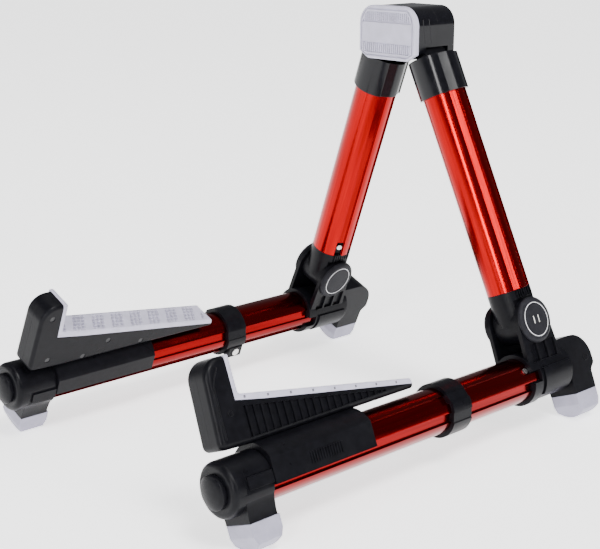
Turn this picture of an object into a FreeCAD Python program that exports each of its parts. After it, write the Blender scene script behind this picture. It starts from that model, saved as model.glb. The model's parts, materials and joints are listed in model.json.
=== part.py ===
import FreeCAD, Part
import math
import os
import re

import Sketcher
from FreeCAD import Placement, Rotation, Vector

# Folding A-frame stand for a guitar. Millimetres, +Z up, the open side and the cradle arms face -Y.
# Row frame: x = 0 between the legs, y = 0 half way from the rear feet to the front plugs, z = 0 on the floor.
#
# Side frame (one per leg, its origin where the two tubes' axes meet): x is w, outward from the leg's plane,
# y is v, up in the leg's plane, and z is u, forward along the lower tube.
# Leg frame (same origin): x is w, y is r, rearward from the upper tube's axis, and z is t, up along it.
# The right leg (+X) is modelled, and the left one is its mirror image.

SIZES = {
    # layout of the open stand
    "knee_x": 110.5, "knee_y": 118.25, "knee_z": 36.4,
    "side_lean": 23.0, "upper_lean": 3.66,
    "fit_gap": 0.05, "far_off": 40.0,
    # tubes: two shallow flutes on each flank with a rib left between them
    "tube_radius": 15.0, "tube_wall": 1.5, "flute_half": 3.1, "flute_floor": 13.0, "flute_angle": 23.3,
    "lower_tube_rear": -16.0, "lower_tube_front": 262.0,
    "upper_tube_low": 59.8, "upper_tube_top": 214.0, "tube_slot_top": 71.0, "tube_slot_half": 2.9,
    # hinge head
    "head_half": 26.0, "head_top": 280.0, "head_low": 245.0, "head_front": 84.4, "head_rear": 120.8,
    "head_split": 103.2, "head_corner": 12.5, "chamfer_wide": 8.5, "chamfer_high": 5.0, "head_wall": 1.8,
    "head_cave_front": 92.1, "head_cave_rear": 114.3, "head_cave_top": 261.0, "head_slot_top": 253.4,
    "head_pin_x": 18.98, "head_pin_z": 252.0, "head_pin_radius": 2.5, "head_pin_over": 3.0,
    "head_pad_half": 26.3, "head_pad_face": 80.4, "head_pad_low": 244.0, "head_pad_top": 280.5,
    "pad_rim": 4.2, "pad_groove": 0.8, "pad_line": 0.7, "pad_panel_low": 255.2, "pad_panel_top": 270.0,
    "head_screw_radius": 2.6, "head_screw_seat": 2.0, "head_screw_length": 20.0, "head_screw_sink": 0.4,
    "head_screw_z": 272.0, "head_screw_x": 8.0,
    # sleeve over the upper tube's top end, with its hinge lug
    "sleeve_radius": 17.1, "sleeve_low": 201.0, "sleeve_floor": 16.2, "sleeve_top": 245.0,
    "hinge_drop": 7.3, "lug_half": 4.8, "lug_front": 92.9, "lug_rear": 113.5, "lug_low": 24.0,
    # knee
    "pivot_u": 4.0, "pivot_v": 36.5, "pivot_t": 36.68, "pivot_r": -1.66,
    "tongue_half": 10.4, "tongue_radius": 14.6, "fitting_step": 53.3, "fitting_plug_top": 82.0,
    "plug_radius": 13.3, "panel_half": 8.6, "panel_floor": 12.0, "fin_low": 53.5, "fin_top": 59.4,
    "fin_pitch": 2.3, "fin_width": 1.1, "fin_out": 13.1,
    "cheek_in": 11.3, "cheek_out": 14.5, "cheek_radius": 15.6, "cheek_front": 20.6, "cheek_rear": -15.0,
    "cheek_low": 6.0, "cheek_recess": 1.8, "window_low": 9.0, "window_top": 21.5,
    "bolt_radius": 4.0, "bolt_head_radius": 7.0, "bolt_head_out": 16.1, "nut_across": 6.3,
    "washer_radius": 9.5, "washer_in": 10.7,
    "cap_radius": 15.75, "cap_out": 17.4, "cap_bevel": 0.9, "cap_seat_radius": 7.4, "cap_seat_out": 16.3,
    # rear block
    "barrel_radius": 16.8, "barrel_rear": -20.0, "flange_rear": 13.5, "flange_front": 22.0,
    "flange_radius": 17.7, "block_low": -21.5, "block_top": 18.2, "block_rear": -50.5,
    "block_front": -8.0, "block_bend": 18.5, "block_small_bend": 3.0, "block_waist_v": -9.0,
    "block_waist_high": -5.0, "block_waist_u": -45.8, "block_floor": -4.0,
    "seat_half": 11.3, "seat_front": -22.5, "boss_radius": 18.3, "boss_top": 4.2, "boss_low": -13.5,
    "boss_front": 11.0, "boss_rear": -16.5, "boss_in": 10.0, "notch_half": 4.2, "notch_in": 14.0,
    "lower_screw_u": 24.2, "flute_screw_radius": 2.0, "flute_screw_out": 0.9,
    # feet: a crowned pad below each end of the lower tube
    "crown_v": -22.0, "crown_radius": 16.149, "foot_low": -39.0, "foot_bend": -29.0, "foot_taper": 4.5,
    "foot_round": 4.0,
    "rear_foot_front": -22.5, "rear_foot_rear": -45.5, "front_foot_front": 273.5, "front_foot_rear": 252.0,
    # clamp strap on the lower tube
    "collar_rear": 87.0, "collar_front": 104.0, "collar_radius": 17.7, "collar_floor": 16.8,
    "collar_lug_out": 17.9, "collar_lug_in": 10.0,
    "collar_lug_low": -12.5, "collar_lug_top": -4.0, "collar_lug_rear": 89.0, "collar_lug_front": 101.0,
    "collar_screw_u": 95.0, "collar_screw_v": -8.2, "collar_screw_radius": 2.9, "collar_screw_out": 18.6,
    "collar_screw_tip": 15.4,
    # front cap and plug
    "cap_rear_u": 253.5, "cap_shoulder_u": 278.5, "cap_front_u": 282.2, "shell_radius": 16.6,
    "shell_nose": 13.0, "shell_floor": 15.6, "shell_flute": 5.8, "bar_half": 3.6, "bar_out": 16.9,
    "bar_in": 14.0, "bar_front": 271.5,
    "plug_disc": 10.2, "plug_dome": 8.0, "plug_front": 285.9, "plug_tip": 287.0,
    "plug_crown": 4.3, "plug_stem": 5.0, "plug_stem_rear": 268.0,
    "skirt_top": -3.0, "skirt_wide": 15.4, "skirt_bend": -12.5, "skirt_narrow": 12.4,
    # cradle arm
    "arm_out": 7.0, "arm_in": -12.0, "arm_seam": -2.5, "arm_seam_gap": 0.05,
    "toe_rear": 258.2, "toe_front": 275.8, "toe_front_top": 273.2, "toe_top": 71.0, "toe_low": 20.3,
    "toe_bend": 12.0, "toe_round": 4.2, "toe_edge_out": 3.6, "toe_edge_in": 2.4,
    "heel_v": 44.5, "tip_u": 122.6, "tip_top": 21.8, "tip_low": 19.0, "under_v": 19.2,
    "arm_wall": 2.4, "hollow_top_front": 38.0, "hollow_top_rear": 26.5,
    "hollow_rear": 176.0, "hollow_front": 266.0, "hollow_back": 250.2, "hollow_low": 24.0,
    "saddle_rear": 174.0, "saddle_front": 253.2, "saddle_out": 17.4, "saddle_waist": 8.5,
    "saddle_round": 20.2, "saddle_lip_out": -5.4, "saddle_lip_in": -1.2, "saddle_open": 13.1,
    "saddle_bore": 15.3, "saddle_flute": 13.3,
    "pad_top_tip": 25.4, "pad_inner_v": 48.1, "pad_inner_u": 254.6,
    "rib_pitch": 5.4, "rib_width": 1.5, "rib_depth": 1.1, "rib_first": 251.0, "rib_low": 22.6,
    "panel_front": 254.0, "panel_front_top": 41.0, "panel_rear": 146.0, "panel_rear_top": 23.9,
    "grip_first": 224.0, "grip_pitch": 2.0, "grip_width": 1.0, "grip_low": -1.6, "grip_top": 5.0,
    "grip_out": 17.9, "arm_screw_radius": 1.9, "arm_screw_seat": -10.6, "arm_screw_tip": 4.0,
}
RIB_COUNT = 20
GRIP_COUNT = 13
FIN_COUNT = 7
INNER_FRONT_TURN = 180 + SIZES["flute_angle"]
UPPER_SCREW_T = "67"
# the turn of the flute that the lower tube's screw stands in
LOWER_SCREW_TURN = SIZES["flute_angle"]
# the sunken windows between the cheek's ribs: rear and front
CHEEK_WINDOWS = [("-11", "-3.4"), ("-1.6", "6.2"), ("8.0", "15.4")]
# where the arm's screws stand: u and v
ARM_SCREWS = [(265.0, 61.5), (262.5, 27.0), (234.0, 22.5), (215.0, 31.0), (186.0, 23.0)]

doc = FreeCAD.newDocument("stand")
sheet = doc.addObject("Spreadsheet::Sheet", "params")
for row, (alias, number) in enumerate(SIZES.items(), 1):
    sheet.set(f"A{row}", alias)
    sheet.set(f"B{row}", str(number))
    sheet.setAlias(f"B{row}", alias)
doc.recompute()


def ref(text):
    """An expression in which each size's name points to its cell."""
    return re.sub(r"[a-z]\w+", lambda m: "params." + m.group() if m.group() in SIZES else m.group(),
                  str(text))


def amount(text):
    """The value of a sum such as "tube_radius - fit_gap" or "-tube_radius"."""
    total = 0.0
    sign = 1
    for word in str(text).split():
        if word in "+-":
            sign = 1 if word == "+" else -1
            continue
        name = word.lstrip("-")
        number = SIZES[name] if name in SIZES else float(name)
        total += sign * (-number if word.startswith("-") else number)
        sign = 1
    return total


LEAN = math.radians(SIZES["side_lean"])
TILT = math.radians(SIZES["upper_lean"])
OUTWARD = Vector(math.cos(LEAN), 0, math.sin(LEAN))
UPWARD = Vector(-math.sin(LEAN), 0, math.cos(LEAN))
FORWARD = Vector(0, -1, 0)
KNEE = Vector(SIZES["knee_x"], SIZES["knee_y"], SIZES["knee_z"])
ALONG = UPWARD * math.cos(TILT) + FORWARD * math.sin(TILT)
SIDE = Placement(KNEE, Rotation(OUTWARD, UPWARD, FORWARD, "XYZ"))
LEG = Placement(KNEE, Rotation(OUTWARD, ALONG.cross(OUTWARD), ALONG, "XYZ"))
# the right hinge pin, with z along the open leg
HINGE = Placement(Vector(SIZES["head_pin_x"], 0, SIZES["head_pin_z"]),
                  Rotation(Vector(0, 1, 0), -SIZES["side_lean"]))
# where the flutes lie, in degrees from the outward direction
FLUTE_TURNS = [turn + side * SIZES["flute_angle"] for turn in (0, 180) for side in (-1, 1)]
AXES = {
    "x": Rotation(Vector(0, 0, 1), Vector(1, 0, 0)),
    "y": Rotation(Vector(0, 0, 1), Vector(0, 1, 0)),
    "z": Rotation(),
}


# ---------------------------------------------------------------- building blocks

def at(obj, place):
    """Binds an object's position to three expressions."""
    for letter, text in zip("xyz", place):
        obj.setExpression(f"Placement.Base.{letter}", ref(text))


def box(name, low, high):
    obj = doc.addObject("Part::Box", name)
    for prop, start, end in zip(("Length", "Width", "Height"), low, high):
        obj.setExpression(prop, ref(f"({end}) - ({start})"))
    at(obj, low)
    return obj


def box_in(frame, name, low, high):
    """A box whose corners are given in a frame of its own."""
    obj = box(name, low, high)
    for letter in "xyz":
        obj.setExpression(f"Placement.Base.{letter}", None)
    obj.Placement = frame * Placement(Vector(*map(amount, low)), Rotation())
    return obj


def rod(name, radius, start, end, axis="z", centre=(0, 0)):
    """A cylinder along an axis from start to end; centre is its place on the other two axes."""
    obj = doc.addObject("Part::Cylinder", name)
    obj.Placement = Placement(Vector(), AXES[axis])
    obj.setExpression("Radius", ref(radius))
    obj.setExpression("Height", ref(f"({end}) - ({start})"))
    place = list(centre)
    place.insert("xyz".index(axis), start)
    at(obj, place)
    return obj


def fuse(name, pieces, refine=True):
    obj = doc.addObject("Part::MultiFuse", name)
    obj.Shapes = pieces
    obj.Refine = refine
    return obj


def cut(name, base, tools):
    """base less every tool, one after another."""
    for i, tool in enumerate(tools):
        obj = doc.addObject("Part::Cut", f"{name}_{i}")
        obj.Base = base
        obj.Tool = tool
        base = obj
    base.Refine = True
    return base


def common(name, first, second):
    obj = doc.addObject("Part::Common", name)
    obj.Base = first
    obj.Tool = second
    return obj


def group(name, pieces):
    obj = doc.addObject("Part::Compound", name)
    obj.Links = pieces
    return obj


def settle(obj, frame):
    """Puts an object that was built in its own frame into the row frame."""
    obj.Placement = frame
    return obj


def wall(name, corners, low, high, plane="YZ_Plane", rounds=()):
    """A PartDesign body: a closed straight-sided outline, padded from low to high off its plane.

    corners are pairs of expressions in the plane; rounds are (corner index, radius) for the edges
    that the pad makes at those corners.
    """
    body = doc.addObject("PartDesign::Body", name)
    sketch = body.newObject("Sketcher::SketchObject", name + "_outline")
    origin_plane = next(f for f in body.Origin.OriginFeatures if f.Role == plane)
    sketch.AttachmentSupport = (origin_plane, [""])
    sketch.MapMode = "FlatFace"
    spots = [Vector(amount(a), amount(b), 0) for a, b in corners]
    count = len(spots)
    for i, spot in enumerate(spots):
        sketch.addGeometry(Part.LineSegment(spot, spots[(i + 1) % count]), False)
    for i in range(count):
        sketch.addConstraint(Sketcher.Constraint("Coincident", i, 2, (i + 1) % count, 1))
    for i, corner in enumerate(corners):
        for kind, text, value in zip(("DistanceX", "DistanceY"), corner, spots[i]):
            index = sketch.addConstraint(Sketcher.Constraint(kind, -1, 1, i, 1, value))
            sketch.setExpression(f"Constraints[{index}]", ref(text))
    sketch.setExpression("AttachmentOffset.Base.z", ref(low))
    pad = body.newObject("PartDesign::Pad", name + "_pad")
    pad.Profile = sketch
    pad.setExpression("Length", ref(f"({high}) - ({low})"))
    doc.recompute()
    for i, (index, radius) in enumerate(rounds):
        spot = spots[index]
        base = body.Tip
        edges = [f"Edge{n}" for n, edge in enumerate(base.Shape.Edges, 1) if stands_on(edge, spot, plane)]
        fillet = body.newObject("PartDesign::Fillet", f"{name}_round_{i}")
        fillet.Base = (base, edges)
        fillet.setExpression("Radius", ref(radius))
        doc.recompute()
    return body


def stands_on(edge, spot, plane):
    """Whether an edge runs along the plane's normal at a corner of the outline."""
    ends = [v.Point for v in edge.Vertexes]
    if len(ends) != 2:
        return False
    flat = {
        "YZ_Plane": [(p.y, p.z) for p in ends],
        "XY_Plane": [(p.x, p.y) for p in ends],
        "XZ_Plane": [(p.x, p.z) for p in ends],
    }[plane]
    return all(abs(a - spot.x) < 1e-4 and abs(b - spot.y) < 1e-4 for a, b in flat)


def turned(name, corners):
    """A PartDesign body turned about the z axis from an outline of (radius, z) corners."""
    body = doc.addObject("PartDesign::Body", name)
    sketch = body.newObject("Sketcher::SketchObject", name + "_outline")
    origin_plane = next(f for f in body.Origin.OriginFeatures if f.Role == "XZ_Plane")
    sketch.AttachmentSupport = (origin_plane, [""])
    sketch.MapMode = "FlatFace"
    spots = [Vector(amount(a), amount(b), 0) for a, b in corners]
    count = len(spots)
    for i, spot in enumerate(spots):
        sketch.addGeometry(Part.LineSegment(spot, spots[(i + 1) % count]), False)
    for i in range(count):
        sketch.addConstraint(Sketcher.Constraint("Coincident", i, 2, (i + 1) % count, 1))
    for i, corner in enumerate(corners):
        for kind, text, value in zip(("DistanceX", "DistanceY"), corner, spots[i]):
            index = sketch.addConstraint(Sketcher.Constraint(kind, -1, 1, i, 1, value))
            sketch.setExpression(f"Constraints[{index}]", ref(text))
    turn = body.newObject("PartDesign::Revolution", name + "_turn")
    turn.Profile = sketch
    turn.ReferenceAxis = (sketch, ["V_Axis"])
    turn.Angle = 360.0
    return body


def flatted(name, radius, floor, half, start, end):
    """A rod along z with one broad flat-bottomed channel on each side of it."""
    bar = rod(name + "_bar", radius, start, end)
    right = box(name + "_flat_out", (floor, f"-({half})", f"({start}) - 1"),
                ("far_off", half, f"({end}) + 1"))
    left = box(name + "_flat_in", ("-far_off", f"-({half})", f"({start}) - 1"),
               (f"-({floor})", half, f"({end}) + 1"))
    return cut(name, bar, [right, left])


def fluted(name, radius, floor, half, start, end):
    """A rod along z with the tubes' four flutes in it, floor from its axis and half to each side."""
    bar = rod(name + "_bar", radius, start, end)
    flutes = []
    for i, angle in enumerate(FLUTE_TURNS):
        flute = doc.addObject("Part::Box", f"{name}_flute_{i}")
        flute.setExpression("Length", ref(f"far_off - ({floor})"))
        flute.setExpression("Width", ref(f"2 * ({half})"))
        flute.setExpression("Height", ref(f"({end}) - ({start}) + 2"))
        corner = Vector(amount(floor), -amount(half), amount(start) - 1)
        flute.Placement = Placement(Vector(), Rotation(Vector(0, 0, 1), angle)) * Placement(corner,
                                                                                            Rotation())
        flutes.append(flute)
    return cut(name, bar, flutes)


def screw(name, radius, head_radius, tip, seat, face, axis, centre):
    """A screw: a shank from its tip to its seat, and a plain head from its seat to its face."""
    low, high = sorted((tip, seat), key=amount)
    shank = rod(name + "_shank", radius, low, high, axis, centre)
    low, high = sorted((seat, face), key=amount)
    head_disc = rod(name + "_head", head_radius, low, high, axis, centre)
    return fuse(name, [shank, head_disc])


def flute_screw(name, turn, along):
    """A screw's head on the floor of the flute that lies at an angle, at a place along the tube."""
    obj = doc.addObject("Part::Cylinder", name)
    obj.setExpression("Radius", ref("flute_screw_radius"))
    obj.setExpression("Height", ref("flute_screw_out"))
    foot_point = Vector(amount("flute_floor + fit_gap"), 0, amount(along))
    obj.Placement = Placement(Vector(), Rotation(Vector(0, 0, 1), turn)) * Placement(foot_point, AXES["x"])
    return obj


parts = {}


def add(name, obj):
    """Names a finished sub-part that lies on the middle plane."""
    obj.Label = name
    parts[name] = obj


def add_pair(name, obj):
    """Names the right sub-part and makes the left one."""
    add("right_" + name, obj)
    twin = doc.addObject("Part::Mirroring", "left_" + name)
    twin.Source = obj
    twin.Normal = Vector(1, 0, 0)
    add("left_" + name, twin)


# ---------------------------------------------------------------- hinge head

def head_outline(half, low, top):
    """Octagon in x and z: the upper corners are rounded later, the lower ones are straight chamfers."""
    return [
        (f"-{half}", top), (half, top), (half, f"{low} + chamfer_high"), (f"{half} - chamfer_wide", low),
        (f"-{half} + chamfer_wide", low), (f"-{half}", f"{low} + chamfer_high"),
    ]


def across_y(name, corners, front, rear, rounds=()):
    """A wall whose outline is in x and z, from front to rear along +Y."""
    # the XZ plane's normal is -Y, so the pad runs from -rear to -front
    return wall(name, corners, f"-({rear})", f"-({front})", "XZ_Plane", rounds)


def head():
    rounds = [(0, "head_corner"), (1, "head_corner")]
    outline = head_outline("head_half", "head_low", "head_top")
    pins = []
    bores = []
    for word, x in (("right", "head_pin_x"), ("left", "-head_pin_x")):
        centre = (x, "head_pin_z")
        pins.append(rod(f"{word}_hinge_pin", "head_pin_radius", "head_cave_front - head_pin_over",
                        "head_cave_rear + head_pin_over", "y", centre))
        bores.append(rod(f"{word}_pin_bore", "head_pin_radius + fit_gap",
                         "head_cave_front - head_pin_over - fit_gap",
                         "head_cave_rear + head_pin_over + fit_gap", "y", centre))
    cave = box("head_cave", ("head_wall - head_half", "head_cave_front", "head_low - 10"),
               ("head_half - head_wall", "head_cave_rear", "head_cave_top"))
    # the open legs' lugs leave the cave through a slot at the foot of each side wall
    slot = box("head_slot", ("-far_off", "head_cave_front", "head_low - 10"),
               ("far_off", "head_cave_rear", "head_slot_top"))
    spots = [("head_screw_x", "head_screw_z"), ("-head_screw_x", "head_screw_z")]
    wells = [rod(f"head_well_{i}", "head_screw_radius + fit_gap", "head_rear - head_screw_seat",
                 "head_rear + 1",
                 "y", spot) for i, spot in enumerate(spots)]
    holes = [rod(f"head_hole_{i}", "head_screw_radius / 2 + fit_gap",
                 "head_rear - head_screw_seat - head_screw_length", "head_rear", "y", spot)
             for i, spot in enumerate(spots)]
    hollow = fuse("head_hollow", bores + [cave, slot] + wells + holes)
    front = across_y("head_front_block", outline, "head_front", "head_split - fit_gap", rounds)
    rear = across_y("head_rear_block", outline, "head_split", "head_rear", rounds)
    add("head_front_shell", cut("head_front_cut", front, [hollow]))
    add("head_rear_shell", cut("head_rear_cut", rear, [hollow]))
    add("head_hinge_pins", group("hinge_pins", pins))
    screws = [screw(f"head_screw_{i}", "head_screw_radius / 2", "head_screw_radius",
                    "head_rear - head_screw_seat - head_screw_length + 1", "head_rear - head_screw_seat",
                    "head_rear - head_screw_sink", "y", spot) for i, spot in enumerate(spots)]
    add("head_screws", group("head_screw_set", screws))


def head_pad():
    outline = head_outline("head_pad_half", "head_pad_low", "head_pad_top")
    rounds = [(0, "head_corner"), (1, "head_corner")]
    slab = across_y("head_pad_slab", outline, "head_pad_face", "head_front", rounds)
    lines = []
    for i, z in enumerate(("pad_panel_low", "pad_panel_top")):
        lines.append(box(f"pad_line_{i}", ("pad_rim - head_pad_half", "head_pad_face - 1", z),
                         ("head_pad_half - pad_rim", "head_pad_face + pad_groove", f"{z} + pad_line")))
    add("head_front_pad", cut("head_pad_cut", slab, lines))


# ---------------------------------------------------------------- upper leg

def upper_leg():
    skin = fluted("upper_skin", "tube_radius", "flute_floor", "flute_half", "upper_tube_low",
                  "upper_tube_top")
    bore = fluted("upper_bore", "tube_radius - tube_wall", "flute_floor - tube_wall",
                  "flute_half + tube_wall",
                  "upper_tube_low - 1", "upper_tube_top + 1")
    # a slot at the foot of the inner flute that faces forward shows the black plug behind it
    slot = doc.addObject("Part::Box", "tube_slot")
    slot.setExpression("Length", ref("far_off"))
    slot.setExpression("Width", ref("2 * tube_slot_half"))
    slot.setExpression("Height", ref("tube_slot_top - upper_tube_low + 1"))
    corner = Vector(0, -amount("tube_slot_half"), amount("upper_tube_low - 1"))
    slot.Placement = Placement(Vector(), Rotation(Vector(0, 0, 1), INNER_FRONT_TURN)) * Placement(corner,
                                                                                                  Rotation())
    add_pair("upper_tube", settle(cut("upper_tube_cut", skin, [bore, slot]), LEG))

    # sleeve: square-ended, with a lug on top that turns about the hinge pin inside the head
    sleeve = fluted("sleeve_skin", "sleeve_radius", "sleeve_floor", "flute_half + 0.3", "sleeve_low",
                    "sleeve_top")
    seat = fluted("sleeve_seat", "tube_radius + fit_gap", "flute_floor + fit_gap", "flute_half - fit_gap",
                  "sleeve_low - 1", "upper_tube_top + fit_gap")
    body = settle(cut("sleeve_cut", sleeve, [seat]), LEG)
    lid = box_in(HINGE, "sleeve_lid", ("-60", "60", "-hinge_drop"), ("60", "150", "60"))
    squared = cut("sleeve_squared", body, [lid])
    boss = rod("lug_boss", "lug_half", "lug_front", "lug_rear", "y", ("head_pin_x", "head_pin_z"))
    web = box_in(HINGE, "lug_web", ("-lug_half", "lug_front", "-lug_low"), ("lug_half", "lug_rear", "0"))
    hole = rod("lug_bore", "head_pin_radius + fit_gap", "lug_front - 1", "lug_rear + 1", "y",
               ("head_pin_x", "head_pin_z"))
    add_pair("top_socket", cut("top_socket_cut", fuse("top_socket_solid", [squared, boss, web]), [hole]))

    # knee fitting: a plug in the tube, a finned panel below it and a tongue that ends round about the pivot
    plug = fluted("fitting_plug", "plug_radius", "flute_floor - tube_wall - fit_gap",
                  "flute_half + tube_wall",
                  "fitting_step", "fitting_plug_top")
    step = flatted("fitting_step_bar", "tube_radius", "panel_floor", "panel_half", "fitting_step",
                   "upper_tube_low - fit_gap")
    neck = common("fitting_neck", rod("neck_bar", "tube_radius", "pivot_t", "fitting_step + 1"),
                  box("neck_slab", ("-tongue_half", "-far_off", "pivot_t - 1"),
                      ("tongue_half", "far_off", "fitting_step + 2")))
    heel = rod("fitting_heel", "tongue_radius", "-tongue_half", "tongue_half", "x", ("0", "pivot_t"))
    fins = []
    for side, start, end in (("out", "panel_floor - 0.5", "fin_out"),
                             ("in", "-fin_out", "0.5 - panel_floor")):
        for i in range(FIN_COUNT):
            middle = f"({i} - {(FIN_COUNT - 1) / 2}) * fin_pitch"
            fins.append(box(f"fin_{side}_{i}", (start, f"{middle} - fin_width / 2", "fin_low"),
                            (end, f"{middle} + fin_width / 2", "fin_top")))
    bore = rod("fitting_bore", "bolt_radius + fit_gap", "-far_off", "far_off", "x", ("pivot_r", "pivot_t"))
    fitting = cut("fitting_cut", fuse("fitting_solid", [plug, step, neck, heel] + fins), [bore])
    add_pair("knee_fitting", settle(fitting, LEG))
    seen = flute_screw("upper_screw_head", INNER_FRONT_TURN, UPPER_SCREW_T)
    add_pair("upper_screw", settle(group("upper_screw_set", [seen]), LEG))


# ---------------------------------------------------------------- lower leg

def tube_core(name, start, end):
    """The space that the lower tube fills, with a hair of room."""
    return fluted(name, "tube_radius + fit_gap", "flute_floor + fit_gap", "flute_half - fit_gap", start, end)


def lower_tube():
    skin = fluted("lower_skin", "tube_radius", "flute_floor", "flute_half", "lower_tube_rear",
                  "lower_tube_front")
    bore = fluted("lower_bore", "tube_radius - tube_wall", "flute_floor - tube_wall",
                  "flute_half + tube_wall",
                  "lower_tube_rear - 1", "lower_tube_front + 1")
    add_pair("lower_tube", settle(cut("lower_tube_cut", skin, [bore]), SIDE))


def rear_block():
    hull = wall("block_hull", [
        ("block_low", "rear_foot_rear"), ("block_waist_v", "block_waist_u"), ("block_waist_high",
                                                                              "block_rear"),
        ("block_top", "block_rear"), ("block_top", "block_front"), ("block_floor", "block_front"),
        ("block_floor", "seat_front"), ("block_low", "seat_front"),
    ], "-seat_half", "seat_half", rounds=[(3, "block_bend"), (2, "block_small_bend"),
                                          (1, "block_small_bend")])
    barrel = rod("block_barrel", "barrel_radius", "barrel_rear", "flange_front - 1")
    flange = rod("block_flange", "flange_radius", "flange_rear", "flange_front")
    solids = [hull, barrel, flange]
    notches = []
    for side, near, far in (("out", "cheek_in", "cheek_out"), ("in", "-cheek_out", "-cheek_in")):
        plate = wall(f"cheek_{side}", [
            ("cheek_low", "cheek_rear"), ("pivot_v", "pivot_u - cheek_radius"), ("pivot_v",
                                                                                 "pivot_u + cheek_radius"),
            ("cheek_low", "cheek_front"),
        ], near, far)
        disc = rod(f"cheek_disc_{side}", "cheek_radius", near, far, "x", ("pivot_v", "pivot_u"))
        solids += [plate, disc]
    for side, near, far in (("out", "boss_in", "far_off"), ("in", "-far_off", "-boss_in")):
        room = box(f"boss_room_{side}", (near, "boss_low", "boss_rear - 1"),
                   (far, "boss_top", "boss_front + 1"))
        solids.append(common(f"block_boss_{side}", rod(f"boss_bar_{side}", "boss_radius", "boss_rear",
                                                       "boss_front"), room))
    for side, near, far in (("out", "cheek_out - cheek_recess", "far_off"),
                            ("in", "-far_off", "cheek_recess - cheek_out")):
        for i, (rear, front) in enumerate(CHEEK_WINDOWS):
            notches.append(box(f"cheek_window_{side}_{i}", (near, "window_low", rear),
                               (far, "window_top", front)))
    core = tube_core("block_core", "lower_tube_rear - fit_gap", "flange_front + 1")
    bore = rod("block_bore", "bolt_radius + fit_gap", "-far_off", "far_off", "x", ("pivot_v", "pivot_u"))
    mouth = [box(f"flange_notch_{side}", (near, "-notch_half", "flange_rear + 1"),
                 (far, "notch_half", "flange_front + 1"))
             for side, near, far in (("out", "notch_in", "far_off"), ("in", "-far_off", "-notch_in"))]
    block = cut("rear_block_cut", fuse("rear_block_solid", solids), [core, bore] + notches + mouth)
    add_pair("rear_block", settle(block, SIDE))


def knee_hardware():
    centre = ("pivot_v", "pivot_u")
    shank = rod("bolt_shank", "bolt_radius", "-bolt_head_out", "cheek_out + fit_gap", "x", centre)
    head_disc = rod("bolt_head", "bolt_head_radius", "cheek_out + fit_gap", "bolt_head_out", "x", centre)
    add_pair("knee_bolt", settle(fuse("bolt_solid", [shank, head_disc]), SIDE))
    nut = doc.addObject("Part::Prism", "nut_prism")
    nut.Polygon = 6
    nut.setExpression("Circumradius", ref("nut_across"))
    nut.setExpression("Height", ref("bolt_head_out - cheek_out - 2 * fit_gap"))
    nut.Placement = Placement(Vector(), AXES["x"])
    at(nut, ("-bolt_head_out + fit_gap", "pivot_v", "pivot_u"))
    nut_bore = rod("nut_bore", "bolt_radius + fit_gap", "-far_off", "0", "x", centre)
    add_pair("knee_nut", settle(cut("nut_cut", nut, [nut_bore]), SIDE))
    washers = []
    for side, near, far in (("out", "washer_in", "cheek_in - fit_gap"),
                            ("in", "fit_gap - cheek_in", "-washer_in")):
        ring = rod(f"washer_ring_{side}", "washer_radius", near, far, "x", centre)
        hole = rod(f"washer_hole_{side}", "bolt_radius + fit_gap", "-far_off", "far_off", "x", centre)
        washers.append(cut(f"washer_{side}", ring, [hole]))
    add_pair("knee_washers", settle(group("washer_set", washers), SIDE))
    for side, sign in (("outer", ""), ("inner", "-")):
        cap = turned(f"knee_cap_{side}_body", [
            ("0", "cap_seat_out"), ("0", "cap_out"), ("cap_radius - 2", "cap_out"), ("cap_radius - 0.5",
                                                                                     "cap_out - cap_bevel"),
            ("cap_radius", "cap_out - cap_bevel - cap_bevel"), ("cap_radius", "cheek_out + fit_gap"),
            ("cap_seat_radius", "cheek_out + fit_gap"), ("cap_seat_radius", "cap_seat_out"),
        ])
        cap.Placement = Placement(Vector(), Rotation(Vector(0, 0, 1), Vector(-1 if sign else 1, 0, 0)))
        holder = group(f"knee_cap_{side}_set", [cap])
        at(cap, ("0", "pivot_v", "pivot_u"))
        add_pair(f"knee_cap_{side}", settle(holder, SIDE))


def foot(name, rear, front):
    """A rubber foot, crowned underneath about a line along u, so that it meets the floor level."""
    block = wall(name + "_block", [
        ("block_low - fit_gap", rear), ("foot_bend", rear), ("foot_low", f"{rear} + foot_taper"),
        ("foot_low", f"{front} - foot_taper"), ("foot_bend", front), ("block_low - fit_gap", front),
    ], "-seat_half", "seat_half", rounds=[(1, "foot_round"), (4, "foot_round")])
    crown = rod(name + "_crown", "crown_radius", f"{rear} - 1", f"{front} + 1", "z", ("0", "crown_v"))
    add_pair(name, settle(common(name + "_common", block, crown), SIDE))


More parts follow.
